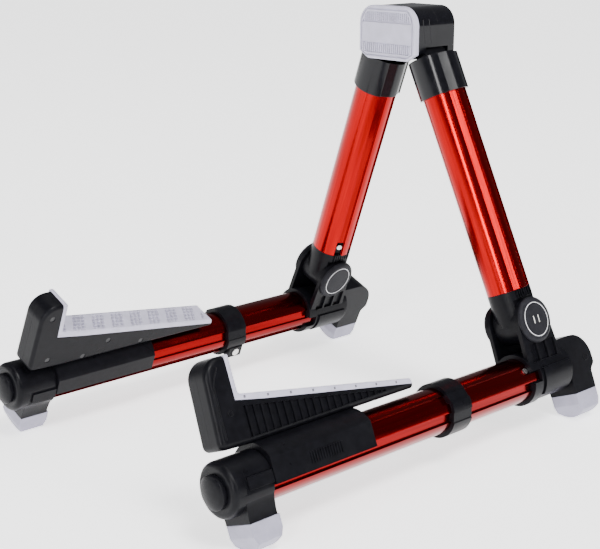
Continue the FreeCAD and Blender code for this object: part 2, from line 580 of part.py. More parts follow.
def front_end():
    shell = turned("shell_turn", [
        ("0", "cap_rear_u"), ("0", "cap_front_u"), ("shell_nose", "cap_front_u"),
        ("shell_nose + 1.8", "cap_front_u - 0.6"), ("shell_radius - 0.6", "cap_shoulder_u + 1.9"),
        ("shell_radius", "cap_shoulder_u"), ("shell_radius", "cap_rear_u"),
    ])
    # the barrel runs down into the foot's seat on slanted sides
    base = wall("cap_base", [
        ("-skirt_wide", "skirt_top"), ("-skirt_narrow", "skirt_bend"), ("-seat_half", "block_low + 3"),
        ("-seat_half", "block_low"), ("seat_half", "block_low"), ("seat_half", "block_low + 3"),
        ("skirt_narrow", "skirt_bend"), ("skirt_wide", "skirt_top"),
    ], "cap_rear_u", "front_foot_front", "XY_Plane")
    flutes = []
    bars = []
    for side, near, far in (("out", "shell_floor", "far_off"), ("in", "-far_off", "-shell_floor")):
        flutes.append(box(f"shell_flute_{side}", (near, "-shell_flute", "cap_rear_u - 1"),
                          (far, "shell_flute", "bar_front + 2")))
    for side, near, far in (("out", "bar_in", "bar_out"), ("in", "-bar_out", "-bar_in")):
        bars.append(box(f"shell_bar_{side}", (near, "-bar_half", "cap_rear_u"),
                        (far, "bar_half", "bar_front")))
    core = tube_core("cap_core", "cap_rear_u - 5", "lower_tube_front + fit_gap")
    stem_hole = rod("cap_stem_hole", "plug_stem + fit_gap", "plug_stem_rear - fit_gap", "cap_front_u + 1")
    grooved = cut("shell_grooved", shell, flutes)
    add_pair("front_cap", settle(cut("front_cap_cut", fuse("front_cap_solid", [grooved, base] + bars),
                                     [core, stem_hole]), SIDE))
    plug = turned("end_plug_turn", [
        ("0", "plug_stem_rear"), ("0", "plug_tip"), ("plug_crown", "plug_tip - 0.3"),
        ("plug_dome", "plug_front"), ("plug_disc", "plug_front - 1"), ("plug_disc", "cap_front_u + fit_gap"),
        ("plug_stem", "cap_front_u + fit_gap"), ("plug_stem", "plug_stem_rear"),
    ])
    add_pair("end_plug", settle(group("end_plug_set", [plug]), SIDE))


def collar():
    spot = ("collar_screw_v", "collar_screw_u")
    ring = fluted("collar_ring", "collar_radius", "collar_floor", "flute_half + 0.3", "collar_rear",
                  "collar_front")
    lug = box("collar_lug", ("-collar_lug_out", "collar_lug_low", "collar_lug_rear"),
              ("-collar_lug_in", "collar_lug_top", "collar_lug_front"))
    core = tube_core("collar_core", "collar_rear - 1", "collar_front + 1")
    hole = rod("collar_hole", "collar_screw_radius / 2 + fit_gap", "-far_off", "-collar_lug_in", "x", spot)
    add_pair("collar", settle(cut("collar_cut", fuse("collar_solid", [ring, lug]), [core, hole]), SIDE))
    shank = rod("collar_shank", "collar_screw_radius / 2", "-collar_lug_out - fit_gap",
                "-collar_screw_tip", "x", spot)
    head_disc = rod("collar_head", "collar_screw_radius", "-collar_screw_out", "-collar_lug_out - fit_gap",
                    "x", spot)
    add_pair("collar_screw", settle(fuse("collar_screw_solid", [shank, head_disc]), SIDE))
    pin = flute_screw("lower_screw_head", LOWER_SCREW_TURN, "lower_screw_u")
    add_pair("lower_screw", settle(group("lower_screw_set", [pin]), SIDE))


# ---------------------------------------------------------------- cradle arm

def arm():
    outline = [
        ("heel_v", "toe_rear"), ("toe_top", "toe_rear"), ("toe_top", "toe_front_top"), ("toe_low",
                                                                                        "toe_front"),
        ("under_v", "saddle_front"), ("under_v", "saddle_rear"), ("tip_low", "tip_u"), ("tip_top", "tip_u"),
    ]
    hollow = wall("arm_hollow", [
        ("hollow_low", "hollow_rear"), ("hollow_low", "hollow_front"), ("hollow_top_front", "hollow_front"),
        ("hollow_top_front", "hollow_back"), ("hollow_top_rear", "hollow_rear"),
    ], "arm_in + arm_wall", "arm_out - arm_wall")
    # the saddle over the tube: a round back with flat flanks, longer on the outer side
    back = common("saddle_back", rod("saddle_back_bar", "saddle_round", "saddle_rear", "saddle_front"),
                  box("saddle_back_room", ("-saddle_out", "saddle_waist", "saddle_rear - 1"),
                      ("saddle_out", "under_v + 0.5", "saddle_front + 1")))
    flanks = [box("saddle_flank_out", ("0", "saddle_lip_out", "saddle_rear"),
                  ("saddle_out", "saddle_waist", "saddle_front")),
              box("saddle_flank_in", ("-saddle_out", "saddle_lip_in", "saddle_rear"),
                  ("0", "saddle_waist", "saddle_front"))]
    saddle = fuse("saddle_bar", [back] + flanks)
    bore = fluted("saddle_bore_bar", "saddle_bore", "saddle_flute", "flute_half - 0.3", "saddle_rear - 1",
                  "saddle_front + 1")
    below = box("saddle_below", ("-saddle_open", "-far_off", "saddle_rear - 1"),
                ("saddle_open", "0", "saddle_front + 1"))
    halves = {
        "outer": ("arm_seam + arm_seam_gap", "arm_out", ("arm_seam + arm_seam_gap", "far_off")),
        "inner": ("arm_in", "arm_seam - arm_seam_gap", ("-far_off", "arm_seam - arm_seam_gap")),
    }
    seats = []
    shanks = []
    screws = []
    for i, (u, v) in enumerate(ARM_SCREWS):
        centre = (str(v), str(u))
        seats.append(rod(f"arm_seat_{i}", "arm_screw_radius + fit_gap", "-far_off", "arm_screw_seat", "x",
                         centre))
        shanks.append(rod(f"arm_hole_{i}", "arm_screw_radius / 2 + fit_gap", "-far_off",
                          "arm_screw_tip + fit_gap", "x",
                          centre))
        screws.append(screw(f"arm_screw_{i}", "arm_screw_radius / 2", "arm_screw_radius", "arm_screw_tip",
                            "arm_screw_seat - fit_gap", "arm_screw_seat - 1", "x", centre))
    for side, (near, far, (low, high)) in halves.items():
        plate = wall(f"arm_{side}_plate", outline, near, far, rounds=[(2, "toe_bend"), (3, "toe_round")])
        ease_toe(plate, "arm_out" if side == "outer" else "arm_in",
                 "toe_edge_out" if side == "outer" else "toe_edge_in")
        half_room = box(f"arm_{side}_room", (low, "-40", "100"), (high, "90", "300"))
        half_saddle = common(f"arm_{side}_saddle", saddle, half_room)
        solid = fuse(f"arm_{side}_solid", [plate, half_saddle])
        tools = [hollow, bore, below] + seats + shanks
        if side == "outer":
            tools.append(rib_panel())
            grips = [box(f"grip_{i}", ("saddle_out - 0.5", "grip_low", f"grip_first - {i} * grip_pitch"),
                         ("grip_out", "grip_top", f"grip_first - {i} * grip_pitch + grip_width"))
                     for i in range(GRIP_COUNT)]
            solid = fuse("arm_outer_gripped", [solid] + grips)
        add_pair(f"arm_{side}_shell", settle(cut(f"arm_{side}_cut", solid, tools), SIDE))
    add_pair("arm_screws", settle(group("arm_screw_set", screws), SIDE))


def ease_toe(plate, side, radius):
    """Rounds the long edge of the toe's top and front on one side of a plate."""
    edges = []
    for i, edge in enumerate(plate.Shape.Edges, 1):
        middle = edge.CenterOfMass
        on_side = all(abs(v.Point.x - amount(side)) < 1e-4 for v in edge.Vertexes)
        on_top = middle.y > amount("toe_top - 1")
        in_front = middle.z > amount("toe_rear + 1") and middle.y > amount("toe_low")
        if on_side and (on_top or in_front):
            edges.append(f"Edge{i}")
    base = plate.Tip
    fillet = plate.newObject("PartDesign::Fillet", plate.Name + "_toe_edge")
    fillet.Base = (base, edges)
    fillet.setExpression("Radius", ref(radius))
    doc.recompute()


def rib_panel():
    """What is cut out of the arm's outer side so that upright ribs stand in a sunken panel."""
    floor = "arm_out - rib_depth"
    panel = wall("rib_panel_slab", [
        ("rib_low", "panel_front"), ("panel_front_top", "panel_front"), ("panel_rear_top", "panel_rear"),
        ("rib_low", "panel_rear"),
    ], floor, "arm_out + 1")
    ribs = [box(f"rib_{i}", (f"{floor} - 1", "rib_low - 2", f"rib_first - {i} * rib_pitch"),
                ("arm_out + 2", "50", f"rib_first - {i} * rib_pitch + rib_width")) for i in range(RIB_COUNT)]
    return cut("rib_panel", panel, ribs)


def arm_pad():
    outline = [
        ("heel_v + fit_gap", "toe_rear - fit_gap"), ("toe_top", "toe_rear - fit_gap"), ("toe_top",
                                                                                        "pad_inner_u"),
        ("pad_inner_v", "pad_inner_u"), ("pad_top_tip", "tip_u"), ("tip_top + fit_gap", "tip_u"),
    ]
    add_pair("arm_pad", settle(group("arm_pad_set", [wall("arm_pad_strip", outline, "arm_in", "arm_out")]),
                               SIDE))


head()
head_pad()
upper_leg()
lower_tube()
rear_block()
knee_hardware()
foot("rear_foot", "rear_foot_rear", "rear_foot_front")
foot("front_foot", "front_foot_rear", "front_foot_front")
front_end()
collar()
arm()
arm_pad()
doc.recompute()

# ---------------------------------------------------------------- checks and export

for obj in doc.Objects:
    if "Invalid" in obj.State or "Error" in obj.State:
        raise SystemExit(f"{obj.Name} failed: {obj.getStatusString()}")
os.makedirs("parts", exist_ok=True)
for old in os.listdir("parts"):
    os.remove(os.path.join("parts", old))
for name, obj in parts.items():
    shape = obj.Shape
    if shape.isNull() or not shape.isValid():
        raise SystemExit(f"{name} has no valid shape")
    if shape.Volume <= 0 or not shape.Solids:
        raise SystemExit(f"{name} has no volume")
    shape.exportStep(os.path.join("parts", name + ".step"))
    print(f"{name}: {len(shape.Solids)} solid(s), {shape.Volume:.0f} mm3")
print(len(parts), "sub-parts")
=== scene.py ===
import json
import math

import bmesh
import bpy
from mathutils import Euler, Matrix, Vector


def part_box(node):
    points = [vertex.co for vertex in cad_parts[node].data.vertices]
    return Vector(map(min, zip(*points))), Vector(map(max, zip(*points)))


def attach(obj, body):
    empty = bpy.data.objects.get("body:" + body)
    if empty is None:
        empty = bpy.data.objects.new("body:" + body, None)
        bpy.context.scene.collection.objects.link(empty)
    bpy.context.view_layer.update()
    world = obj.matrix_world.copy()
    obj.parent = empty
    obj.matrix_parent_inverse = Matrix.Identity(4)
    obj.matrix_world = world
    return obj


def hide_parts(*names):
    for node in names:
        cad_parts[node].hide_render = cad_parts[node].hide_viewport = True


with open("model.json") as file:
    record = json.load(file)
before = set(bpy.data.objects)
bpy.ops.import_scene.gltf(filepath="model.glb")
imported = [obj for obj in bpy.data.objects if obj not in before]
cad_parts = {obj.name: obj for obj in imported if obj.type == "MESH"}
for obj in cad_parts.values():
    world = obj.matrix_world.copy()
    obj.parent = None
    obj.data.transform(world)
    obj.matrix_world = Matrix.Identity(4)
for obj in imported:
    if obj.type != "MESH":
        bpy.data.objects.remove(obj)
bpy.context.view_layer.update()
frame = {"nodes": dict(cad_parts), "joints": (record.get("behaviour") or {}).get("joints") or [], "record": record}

# Folding A-frame guitar stand, standing open. Metres, in the CAD model's frame.
MM = 0.001

# ---------------------------------------------------------------- places, all from the frame

joints = {joint["name"]: joint for joint in frame["joints"]}
RIGHT_PIVOT = Vector(joints["right_knee_fold"]["pos_m"])
OUTWARD = -Vector(joints["right_knee_fold"]["axis"]).normalized()
FORWARD = Vector((0, -1, 0))
UPWARD = FORWARD.cross(OUTWARD)
# the knee pivot's height above the lower tube's axis and its distance in front of the side's origin
PIVOT_V, PIVOT_U = 36.5, 4.0
SIDES = {"right": 1, "left": -1}


def spot(side, w, v, u):
    """A point beside a lower tube in millimetres: w outward, v up across it and u forward along it."""
    point = RIGHT_PIVOT + (OUTWARD * w + UPWARD * (v - PIVOT_V) + FORWARD * (u - PIVOT_U)) * MM
    return Vector((point.x * SIDES[side], point.y, point.z))


record = frame["record"]
SLOTS = {part["node"]: part["material_slot"] for part in record["subparts"]}
BODIES = {node: body for body, nodes in record["behaviour"]["bodies"].items() for node in nodes}


# ---------------------------------------------------------------- materials

def shader(name, color, roughness, metallic=0.0, coat=0.0, coat_roughness=0.08, specular=0.5):
    material = bpy.data.materials.new(name)
    material.use_nodes = True
    bsdf = material.node_tree.nodes["Principled BSDF"]
    bsdf.inputs["Base Color"].default_value = (*color, 1)
    bsdf.inputs["Roughness"].default_value = roughness
    bsdf.inputs["Metallic"].default_value = metallic
    bsdf.inputs["Coat Weight"].default_value = coat
    bsdf.inputs["Coat Roughness"].default_value = coat_roughness
    bsdf.inputs["Specular IOR Level"].default_value = specular
    return material, material.node_tree, bsdf


def noise(tree, scale, detail=3.0, turn=(0, 0, 0), stretch=(1, 1, 1)):
    """Noise in object space at scale repeats per metre, stretched along axes that are turned first."""
    coord = tree.nodes.new("ShaderNodeTexCoord")
    mapping = tree.nodes.new("ShaderNodeMapping")
    mapping.vector_type = "TEXTURE"
    mapping.inputs["Rotation"].default_value = turn
    mapping.inputs["Scale"].default_value = stretch
    texture = tree.nodes.new("ShaderNodeTexNoise")
    texture.inputs["Scale"].default_value = scale
    texture.inputs["Detail"].default_value = detail
    tree.links.new(coord.outputs["Object"], mapping.inputs["Vector"])
    tree.links.new(mapping.outputs["Vector"], texture.inputs["Vector"])
    return texture.outputs["Fac"]


def spread(tree, value, low, high):
    """value, about 0.3 to 0.7, stretched to run from low to high."""
    node = tree.nodes.new("ShaderNodeMapRange")
    node.inputs["From Min"].default_value = 0.3
    node.inputs["From Max"].default_value = 0.7
    node.inputs["To Min"].default_value = low
    node.inputs["To Max"].default_value = high
    tree.links.new(value, node.inputs["Value"])
    return node.outputs["Result"]


def tinted(tree, bsdf, value, dark, light):
    """Base colour that wanders between two close shades."""
    node = tree.nodes.new("ShaderNodeMix")
    node.data_type = "RGBA"
    node.inputs["A"].default_value = (*dark, 1)
    node.inputs["B"].default_value = (*light, 1)
    tree.links.new(spread(tree, value, 0.0, 1.0), node.inputs["Factor"])
    tree.links.new(node.outputs["Result"], bsdf.inputs["Base Color"])


def bump(tree, bsdf, height, distance, strength=1.0):
    node = tree.nodes.new("ShaderNodeBump")
    node.inputs["Strength"].default_value = strength
    node.inputs["Distance"].default_value = distance
    tree.links.new(height, node.inputs["Height"])
    tree.links.new(node.outputs["Normal"], bsdf.inputs["Normal"])


def moulded(name, color, roughness, grain, depth, specular=0.09):
    """Moulded plastic: a fine pitted grain, and gloss and shade that wander a little."""
    material, tree, bsdf = shader(name, color, roughness, specular=specular)
    broad = noise(tree, 60.0, 2.0)
    tree.links.new(spread(tree, broad, roughness - 0.05, roughness + 0.05), bsdf.inputs["Roughness"])
    tinted(tree, bsdf, noise(tree, 240.0, 3.0), [c * 0.8 for c in color], [c * 1.3 for c in color])
    bump(tree, bsdf, noise(tree, grain, 4.0), depth)
    return material


def anodised(name, turn, depth=1.0):
    """Red anodised extrusion: fine drawing lines run along the tube, local z after the turn."""
    material, tree, bsdf = shader(name, (0.5, 0.004, 0.006), 0.2, metallic=1.0, coat=0.05)
    lines = noise(tree, 1400.0, 3.0, turn, (1, 1, 60))
    tree.links.new(spread(tree, lines, 0.15, 0.25), bsdf.inputs["Roughness"])
    # a depth below 1 darkens the red: painted shade
    dark, light = [Vector(c) * depth for c in ((0.26, 0.0003, 0.0014), (0.36, 0.0008, 0.0028))]
    tinted(tree, bsdf, noise(tree, 500.0, 2.0, turn, (1, 1, 40)), dark, light)
    bump(tree, bsdf, lines, 0.000012)
    return material


def rubber(name, color):
    """Soft grey rubber with a powdery surface."""
    material, tree, bsdf = shader(name, color, 0.6, specular=0.25)
    bsdf.inputs["Sheen Weight"].default_value = 0.15
    tree.links.new(spread(tree, noise(tree, 90.0, 3.0), 0.54, 0.68), bsdf.inputs["Roughness"])
    tinted(tree, bsdf, noise(tree, 140.0, 4.0), [c * 0.93 for c in color], [c * 1.08 for c in color])
    bump(tree, bsdf, noise(tree, 2500.0, 4.0), 0.00006)
    return material


def plated(name, color, low, high, metallic):
    """Screws and pins: turned metal with uneven gloss."""
    material, tree, bsdf = shader(name, color, low, metallic=metallic)
    tree.links.new(spread(tree, noise(tree, 900.0, 3.0), low, high), bsdf.inputs["Roughness"])
    tinted(tree, bsdf, noise(tree, 500.0, 2.0), [c * 0.88 for c in color], color)
    bump(tree, bsdf, noise(tree, 3000.0, 2.0), 0.00001)
    return material


def leg_turn(side):
    """The turn that takes z onto a side's upper tube."""
    hinge = Vector(joints[f"{side}_leg_swing"]["pos_m"])
    knee = Vector(joints[f"{side}_knee_fold"]["pos_m"])
    return (hinge - knee).to_track_quat("Z", "Y").to_euler()


MATERIALS = {
    "black_plastic": moulded("moulded_black", (0.0035, 0.0035, 0.0048), 0.32, 3500.0, 0.00005),
    "gloss_black": moulded("smooth_black", (0.0035, 0.0035, 0.005), 0.15, 2500.0, 0.000012, 0.22),
    "cap_plastic": moulded("grained_black", (0.012, 0.012, 0.015), 0.48, 2600.0, 0.00014),
    "grey_rubber": rubber("soft_rubber", (0.46, 0.445, 0.55)),
    "steel": plated("zinc_steel", (0.72, 0.71, 0.7), 0.22, 0.36, 1.0),
    "black_screw": plated("black_oxide", (0.008, 0.008, 0.01), 0.45, 0.55, 0.0),
    "washer": moulded("nylon", (0.72, 0.71, 0.67), 0.45, 2000.0, 0.00002),
}
# painted shade: the feet stand in the floor's bounced light, so their rubber is painted a shade deeper
FOOT_RUBBER_PAINTED_DARKER = rubber("foot_rubber_painted_darker", (0.3, 0.29, 0.37))
PRINT = moulded("print_white", (0.7, 0.7, 0.72), 0.5, 3000.0, 0.00002)
TUBES = {
    "right_upper_tube": anodised("red_right_leg", leg_turn("right")),
    "left_upper_tube": anodised("red_left_leg", leg_turn("left")),
}
# painted shade: the lower tubes take a copy of the red darkened to 0.6
TUBES["right_lower_tube"] = anodised("red_base_painted_shade", Euler((math.radians(90), 0, 0)), 0.6)
TUBES["left_lower_tube"] = TUBES["right_lower_tube"]


def finish_of(node):
    """The material of a CAD node, and of the piece that stands for it."""
    if node.endswith("_foot"):
        return FOOT_RUBBER_PAINTED_DARKER
    return TUBES[node] if node in TUBES else MATERIALS[SLOTS[node]]


# faces that meet at more than this, in degrees, keep a sharp edge between them
CAD_SHARP, SKIN_SHARP = 35, 40

for node, obj in frame["nodes"].items():
    obj.data.materials.clear()
    obj.data.materials.append(finish_of(node))
    obj.data.shade_smooth()
    obj.data.set_sharp_from_angle(angle=math.radians(CAD_SHARP))


# ---------------------------------------------------------------- pieces

def piece(name, mesh, body, material):
    obj = bpy.data.objects.new(name, mesh)
    bpy.context.scene.collection.objects.link(obj)
    mesh.materials.clear()
    mesh.materials.append(material)
    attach(obj, body)
    return obj


def baked(model):
    """The mesh that an object's modifiers or curve make. The object itself is removed."""
    bpy.context.view_layer.update()
    made = model.evaluated_get(bpy.context.evaluated_depsgraph_get())
    mesh = bpy.data.meshes.new_from_object(made)
    bpy.data.objects.remove(model)
    return mesh


# how a CAD mesh is cleaned before its edges are rounded: points closer than this, in metres, are
# joined, and faces that meet at less than this many degrees become one
CAD_WELD, CAD_FLAT = 2e-6, 0.6
# edges that turn by more than this many degrees are rounded
EASE_TURN = 28
# how strongly the large faces set the shading of the rounded edges
NORMAL_WEIGHT = 80


def eased(node, width, segments=2):
    """Stands for a CAD node: the same shape with its sharp edges rounded by width millimetres."""
    work = bmesh.new()
    work.from_mesh(frame["nodes"][node].data)
    bmesh.ops.remove_doubles(work, verts=work.verts, dist=CAD_WELD)
    flat = math.radians(CAD_FLAT)
    bmesh.ops.dissolve_limit(work, angle_limit=flat, verts=work.verts, edges=work.edges)
    raw = bpy.data.meshes.new(node + "_raw")
    work.to_mesh(raw)
    work.free()
    raw.shade_smooth()
    model = bpy.data.objects.new(node + "_raw", raw)
    bpy.context.scene.collection.objects.link(model)
    bevel = model.modifiers.new("bevel", "BEVEL")
    bevel.width = width * MM
    bevel.segments = segments
    bevel.limit_method = "ANGLE"
    bevel.angle_limit = math.radians(EASE_TURN)
    bevel.use_clamp_overlap = True
    bevel.miter_outer = "MITER_ARC"
    model.modifiers.new("normals", "WEIGHTED_NORMAL").weight = NORMAL_WEIGHT
    made = baked(model)
    made.name = node + "_eased"
    obj = piece(node + "_eased", made, BODIES[node], finish_of(node))
    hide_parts(node)


EASES = {
    "upper_tube": 0.25, "lower_tube": 0.25, "top_socket": 0.35, "knee_fitting": 0.25, "rear_block": 0.6,
    "knee_cap_outer": 0.35, "knee_cap_inner": 0.35, "front_cap": 0.45, "end_plug": 0.4, "collar": 0.3,
    "arm_inner_shell": 0.4,
}
# width and segments
FOOT_EASE = (2.2, 5)
HEAD_EASE = (0.8, 3)
# the outer arm shell isn't eased: its saddle shades badly with rounded edges
for side in SIDES:
    for part, width in EASES.items():
        eased(f"{side}_{part}", width)
    for part in ("front_foot", "rear_foot"):
        eased(f"{side}_{part}", *FOOT_EASE)
for node in ("head_front_shell", "head_rear_shell"):
    eased(node, *HEAD_EASE)


WELD = 1e-6


def face_outward(mesh, weld=False):
    """Turns every face of a closed mesh outward, after joining its coincident points where asked."""
    work = bmesh.new()
    work.from_mesh(mesh)
    if weld:
        bmesh.ops.remove_doubles(work, verts=work.verts, dist=WELD)
    bmesh.ops.recalc_face_normals(work, faces=work.faces)
    work.to_mesh(mesh)
    work.free()


def skin(name, rows, body, material):
    """A closed mesh from rows of points, each row a loop as long as the next, with both ends filled."""
    points = [point for row in rows for point in row]
    across = len(rows[0])
    faces = []
    for i in range(len(rows) - 1):
        for j in range(across):
            k = (j + 1) % across
            faces.append((i * across + j, i * across + k, (i + 1) * across + k, (i + 1) * across + j))
    faces.append(tuple(range(across)))
    faces.append(tuple(range(len(points) - 1, len(points) - 1 - across, -1)))
    mesh = bpy.data.meshes.new(name)
    mesh.from_pydata(points, [], faces)
    face_outward(mesh, weld=True)
    mesh.shade_smooth()
    mesh.set_sharp_from_angle(angle=math.radians(SKIN_SHARP))
    return piece(name, mesh, body, material)


def eased_depth(distance, radius):
    """How far a rounded edge falls away at a distance from the edge."""
    if distance >= radius:
        return 0.0
    run = radius - max(distance, 0.0)
    return radius - math.sqrt(radius * radius - run * run)


# the arm pad: a strip of rubber from the arm's tip to the toe, and up the toe's rear face
PAD_IN, PAD_OUT = -12.0, 7.0
PAD_TIP, PAD_HEEL, PAD_TOP = (25.4, 122.6), (48.1, 254.6), (71.0, 254.6)
PAD_UNDER_TIP, PAD_UNDER_HEEL = (21.85, 122.6), (44.55, 258.15)
PAD_SLOPE = (PAD_HEEL[0] - PAD_TIP[0]) / (PAD_HEEL[1] - PAD_TIP[1])
PAD_STEP, PAD_BEND, PAD_EDGE = 0.55, 2.5, 1.2
BEND_STEPS = 6
# how far below the heel the underside starts to follow the toe's rear face
HEEL_RISE = 3
PIT_PITCH, PIT_SIZE, PIT_GAP, PIT_DEPTH = 16.5, 2.3, 1.2, 2.2
PIT_CELL = PIT_SIZE + PIT_GAP
PIT_ROWS, PIT_SLANT, PIT_START = 3, 0.55, 0.6
PIT_MARGIN, PIT_END = 1.5, 4


def pad_path():
    """Points (v, u) along the pad's face, with the heel's corner rounded."""
    tip, heel, top = (Vector(p) for p in (PAD_TIP, PAD_HEEL, PAD_TOP))
    ramp = (heel - tip).normalized()
    rise = (top - heel).normalized()
    half = ramp.angle(rise) / 2
    reach = PAD_BEND * math.tan(half)
    start, end = heel - ramp * reach, heel + rise * reach
    points = []
    length = (start - tip).length
    count = int(length / PAD_STEP)
    for i in range(count):
        points.append(tip + ramp * (length * i / count))
    for i in range(BEND_STEPS + 1):
        t = i / BEND_STEPS
        points.append(start * (1 - t) ** 2 + heel * 2 * t * (1 - t) + end * t * t)
    length = (top - end).length
    count = int(length / PAD_STEP)
    for i in range(1, count + 1):
        points.append(end + rise * (length * i / count))
    return points


def in_pit(run, w):
    """Whether a place on the pad is in one of its slanted rows of square pits."""
    phase = (run + (w - PAD_IN) * PIT_SLANT) % PIT_PITCH
    lane = (w - PAD_IN + PIT_START) % PIT_CELL
    return phase < PIT_ROWS * PIT_CELL and phase % PIT_CELL < PIT_SIZE and lane < PIT_SIZE


def pad_under(here):
    """The place (v, u) on the pad's underside that belongs to a place on its face."""
    if here.x > PAD_HEEL[0] - HEEL_RISE:
        return Vector((max(here.x, PAD_UNDER_HEEL[0]), PAD_UNDER_HEEL[1]))
    t = (here.y - PAD_UNDER_TIP[1]) / (PAD_UNDER_HEEL[1] - PAD_UNDER_TIP[1])
    return Vector((PAD_UNDER_TIP[0] + t * (PAD_UNDER_HEEL[0] - PAD_UNDER_TIP[0]), here.y))


def arm_pad(side):
    points = pad_path()
    last = len(points) - 1
    across = round((PAD_OUT - PAD_IN) / PAD_STEP)
    widths = [PAD_IN + (PAD_OUT - PAD_IN) * j / across for j in range(across + 1)]
    total = sum((b - a).length for a, b in zip(points, points[1:]))
    run = 0.0
    rows = []
    for i, here in enumerate(points):
        if i:
            run += (here - points[i - 1]).length
        ahead = (points[min(i + 1, last)] - points[max(i - 1, 0)]).normalized()
        inward = Vector((-ahead.y, ahead.x))
        end_gap = min(run, total - run)
        row = []
        for w in widths:
            edge = min(w - PAD_IN, PAD_OUT - w)
            depth = max(eased_depth(edge, PAD_EDGE), eased_depth(end_gap, PAD_EDGE))
            if in_pit(run, w) and end_gap > PIT_END and edge > PIT_MARGIN:
                depth = max(depth, PIT_DEPTH)
            place = here + inward * depth
            row.append(spot(side, w, place.x, place.y))
        # down the outer side, under, and back up the inner side
        under = pad_under(here)
        row.append(spot(side, PAD_OUT, under.x, under.y))
        row.append(spot(side, PAD_IN, under.x, under.y))
        rows.append(row)
    obj = skin(f"{side}_arm_pad_soft", rows, f"{side}_arm", MATERIALS["grey_rubber"])
    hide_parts(f"{side}_arm_pad")


# the head pad: a rounded rubber face with ribbed bands above and below a smooth panel
HEAD_PAD_CORNER = 13.0
HEAD_CHAMFER_WIDE, HEAD_CHAMFER_HIGH = 8.5, 5.0
HEAD_PAD_EDGE = 1.5
HEAD_BORDER, HEAD_BORDER_DEPTH = 3.6, 1.0
BAND, BAND_MARGIN, BAND_DEPTH = 7.5, 0.8, 0.25
RIB_PITCH, RIB_DEPTH, RIB_SHARE = 1.9, 1.3, 0.1
GROOVE_IN, GROOVE_OUT = 2.2, 3.1
PANEL_GROOVE = 0.9
HEAD_PAD_ROWS, HEAD_PAD_COLUMNS = 128, 200


def head_pad_reach(z, half, foot, top):
    """Half the pad's width at a height: round upper corners and straight lower chamfers."""
    if z > top - HEAD_PAD_CORNER:
        rise = z - (top - HEAD_PAD_CORNER)
        return half - HEAD_PAD_CORNER + math.sqrt(max(HEAD_PAD_CORNER ** 2 - rise ** 2, 0.0))
    if z < foot + HEAD_CHAMFER_HIGH:
        return half - HEAD_CHAMFER_WIDE * (1 - (z - foot) / HEAD_CHAMFER_HIGH)
    return half


def head_pad_depth(x, z, edge, foot, top):
    """How far the pad's face falls back at a place, edge millimetres from its outline."""
    depth = eased_depth(edge, HEAD_PAD_EDGE)
    if GROOVE_IN < edge < GROOVE_OUT:
        depth += HEAD_BORDER_DEPTH
    # ribbed bands, and a groove between each band and the smooth panel
    panel_top = top - HEAD_BORDER - BAND
    panel_foot = foot + HEAD_BORDER + BAND
    to_panel = min(abs(z - panel_top), abs(z - panel_foot))
    if edge >= HEAD_BORDER and to_panel < PANEL_GROOVE / 2:
        depth += HEAD_BORDER_DEPTH
    elif edge >= HEAD_BORDER + BAND_MARGIN and not panel_foot <= z <= panel_top:
        between = math.cos(2 * math.pi * x / RIB_PITCH) < RIB_SHARE
        depth += RIB_DEPTH if between else BAND_DEPTH
    return depth


def head_pad():
    low, high = (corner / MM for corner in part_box("head_front_pad"))
    grid = []
    for i in range(HEAD_PAD_ROWS + 1):
        z = low.z + (high.z - low.z) * i / HEAD_PAD_ROWS
        reach = head_pad_reach(z, high.x, low.z, high.z)
        row = []
        for j in range(HEAD_PAD_COLUMNS + 1):
            x = reach * (2 * j / HEAD_PAD_COLUMNS - 1)
            edge = min(reach - abs(x), z - low.z, high.z - z)
            row.append(Vector((x, low.y + head_pad_depth(x, z, edge, low.z, high.z), z)) * MM)
        row.append(Vector((reach, high.y, z)) * MM)
        row.append(Vector((-reach, high.y, z)) * MM)
        grid.append(row)
    obj = skin("head_pad_soft", grid, "head", MATERIALS["grey_rubber"])
    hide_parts("head_front_pad")


RING_STEPS = 96
RING_IN, RING_OUT, RING_THICK = 11.3, 11.75, 0.08


def ring(name, side, w):
    """A thin printed ring about the knee pivot, from w outward."""
    points = []
    top = w + RING_THICK
    for i in range(RING_STEPS):
        angle = 2 * math.pi * i / RING_STEPS
        across, along = math.cos(angle), math.sin(angle)
        for radius, level in ((RING_IN, w), (RING_IN, top), (RING_OUT, top), (RING_OUT, w)):
            points.append(spot(side, level, PIVOT_V + radius * across, PIVOT_U + radius * along))
    faces = []
    for i in range(RING_STEPS):
        n = (i + 1) % RING_STEPS
        for j in range(4):
            k = (j + 1) % 4
            faces.append((i * 4 + j, n * 4 + j, n * 4 + k, i * 4 + k))
    mesh = bpy.data.meshes.new(name)
    mesh.from_pydata(points, [], faces)
    face_outward(mesh)
    piece(name, mesh, f"{side}_lower", PRINT)


def bar(name, side, body, points, radius, slot):
    """A thin round bead through points given as (w, v, u)."""
    curve = bpy.data.curves.new(name, "CURVE")
    curve.dimensions = "3D"
    curve.bevel_depth = radius * MM
    curve.bevel_resolution = 3
    curve.resolution_u = 10
    line = curve.splines.new("BEZIER")
    line.bezier_points.add(len(points) - 1)
    for knot, point in zip(line.bezier_points, points):
        knot.co = spot(side, *point)
        knot.handle_left_type = "AUTO"
        knot.handle_right_type = "AUTO"
    model = bpy.data.objects.new(name + "_line", curve)
    bpy.context.scene.collection.objects.link(model)
    mesh = baked(model)
    mesh.shade_smooth()
    piece(name, mesh, body, MATERIALS[slot])


def prism(name, points, body, material):
    """A piece from eight points: four round one end, then four round the other in the same order."""
    faces = [(0, 1, 2, 3), (4, 5, 6, 7)]
    for i in range(4):
        j = (i + 1) % 4
        faces.append((i, j, j + 4, i + 4))
    mesh = bpy.data.meshes.new(name)
    mesh.from_pydata(points, [], faces)
    face_outward(mesh)
    piece(name, mesh, body, material)


